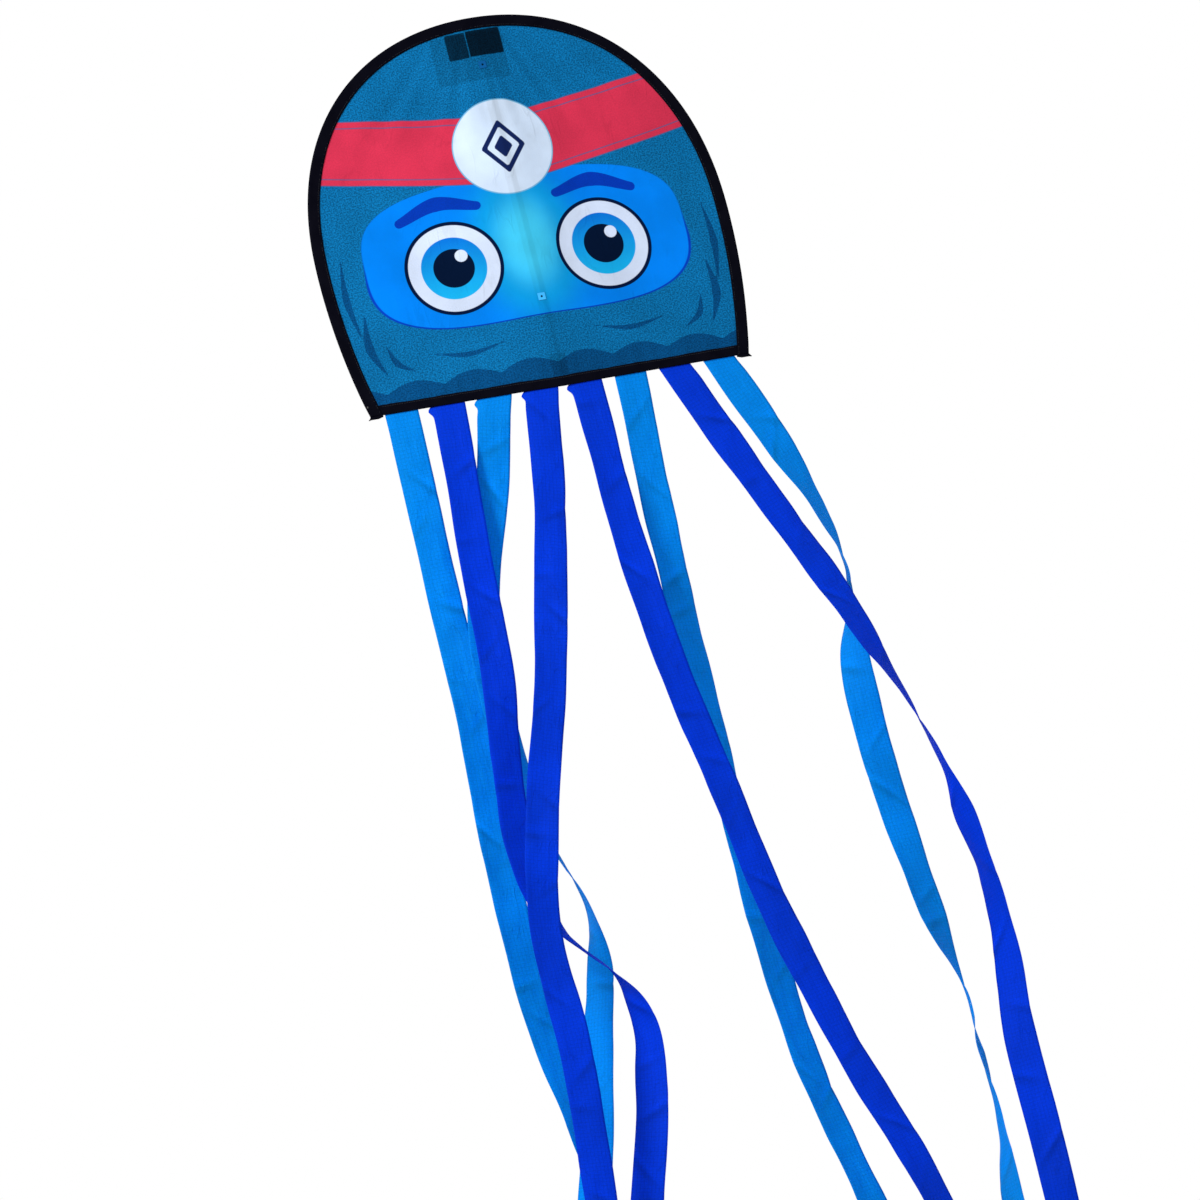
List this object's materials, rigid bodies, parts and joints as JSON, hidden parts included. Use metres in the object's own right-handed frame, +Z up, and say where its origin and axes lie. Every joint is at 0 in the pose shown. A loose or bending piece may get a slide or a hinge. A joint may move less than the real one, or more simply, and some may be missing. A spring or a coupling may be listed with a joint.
{
  "type": "octopus kite",
  "caption": "Single-line kite with an arched, printed cloth head on a spine and bow rods and long cloth streamers hanging from its hem.",
  "frame": {"origin": "on the front of the sail at the upper bridle point, on the spine line", "axes": "+Z up the spine to the nose, +X to the right as the printed face is seen, -Y out of the printed face"},
  "size_m": [0.7109, 0.1922, 1.9748],
  "materials": {
    "printed_sail_cloth": "printed woven polyester, slightly see-through",
    "black_tape": "folded black binding tape, matt",
    "patch_cloth": "plain blue woven polyester",
    "pale_patch": "pale blue adhesive cloth",
    "label_cloth": "blank dark satin label",
    "light_blue_ripstop": "light blue ripstop, slightly see-through",
    "dark_blue_ripstop": "dark blue ripstop, slightly see-through",
    "glass_fibre": "pultruded glass fibre",
    "black_vinyl": "moulded black vinyl",
    "brass": "satin"
  },
  "bodies": {
    "head": {"sail": "printed_sail_cloth", "edge_sleeve": "black_tape", "hem_tape": "black_tape", "bow_rod_left": "glass_fibre", "bow_rod_right": "glass_fibre", "bow_cap_left": "black_vinyl", "bow_cap_right": "black_vinyl", "corner_tab_left": "black_tape", "corner_tab_right": "black_tape", "nose_ferrule": "brass", "spine_rod": "glass_fibre", "spine_cap_top": "black_vinyl", "spine_cap_bottom": "black_vinyl", "spine_sleeve": "patch_cloth", "nose_pocket": "black_tape", "hem_pocket": "black_tape", "nose_patch": "patch_cloth", "bridle_patch_upper": "patch_cloth", "bridle_patch_lower": "pale_patch"},
    "streamer_1": {"streamer_1": "light_blue_ripstop"},
    "streamer_2": {"streamer_2": "dark_blue_ripstop"},
    "streamer_3": {"streamer_3": "light_blue_ripstop"},
    "streamer_4": {"streamer_4": "dark_blue_ripstop"},
    "streamer_5": {"streamer_5": "dark_blue_ripstop"},
    "streamer_6": {"streamer_6": "light_blue_ripstop"},
    "streamer_7": {"streamer_7": "dark_blue_ripstop"},
    "streamer_8": {"streamer_8": "light_blue_ripstop"},
    "care_label": {"care_label": "label_cloth"}
  },
  "joints": [
    {"name": "streamer_1_seam", "type": "hinge", "parent": "head", "child": "streamer_1", "pos_m": [-0.21598, 0.01675, -0.44836], "axis": [0.9961, -0.0823, -0.032], "range_deg": [-25, 50]},
    {"name": "streamer_2_seam", "type": "hinge", "parent": "head", "child": "streamer_2", "pos_m": [-0.15399, 0.0114, -0.45035], "axis": [0.9961, -0.0823, -0.032], "range_deg": [-25, 50]},
    {"name": "streamer_3_seam", "type": "hinge", "parent": "head", "child": "streamer_3", "pos_m": [-0.09199, 0.00614, -0.45234], "axis": [0.9961, -0.0823, -0.032], "range_deg": [-25, 50]},
    {"name": "streamer_4_seam", "type": "hinge", "parent": "head", "child": "streamer_4", "pos_m": [-0.03, 0.00139, -0.45434], "axis": [0.9961, -0.0823, -0.032], "range_deg": [-25, 50]},
    {"name": "streamer_5_seam", "type": "hinge", "parent": "head", "child": "streamer_5", "pos_m": [0.03, 0.00139, -0.45434], "axis": [0.9961, 0.0823, 0.032], "range_deg": [-25, 50]},
    {"name": "streamer_6_seam", "type": "hinge", "parent": "head", "child": "streamer_6", "pos_m": [0.09199, 0.00614, -0.45234], "axis": [0.9961, 0.0823, 0.032], "range_deg": [-25, 50]},
    {"name": "streamer_7_seam", "type": "hinge", "parent": "head", "child": "streamer_7", "pos_m": [0.15399, 0.0114, -0.45035], "axis": [0.9961, 0.0823, 0.032], "range_deg": [-25, 50]},
    {"name": "streamer_8_seam", "type": "hinge", "parent": "head", "child": "streamer_8", "pos_m": [0.21598, 0.01675, -0.44836], "axis": [0.9961, 0.0823, 0.032], "range_deg": [-25, 50]},
    {"name": "care_label_seam", "type": "hinge", "parent": "head", "child": "care_label", "pos_m": [-0.0277, 0.00295, 0.04802], "axis": [1, 0, 0], "range_deg": [0, 70]}
  ],
  "couplings": [
    {"joint": "streamer_2_seam", "follows": "streamer_1_seam", "ratio": 1},
    {"joint": "streamer_3_seam", "follows": "streamer_1_seam", "ratio": 1},
    {"joint": "streamer_4_seam", "follows": "streamer_1_seam", "ratio": 1},
    {"joint": "streamer_6_seam", "follows": "streamer_5_seam", "ratio": 1},
    {"joint": "streamer_8_seam", "follows": "streamer_7_seam", "ratio": 1}
  ]
}
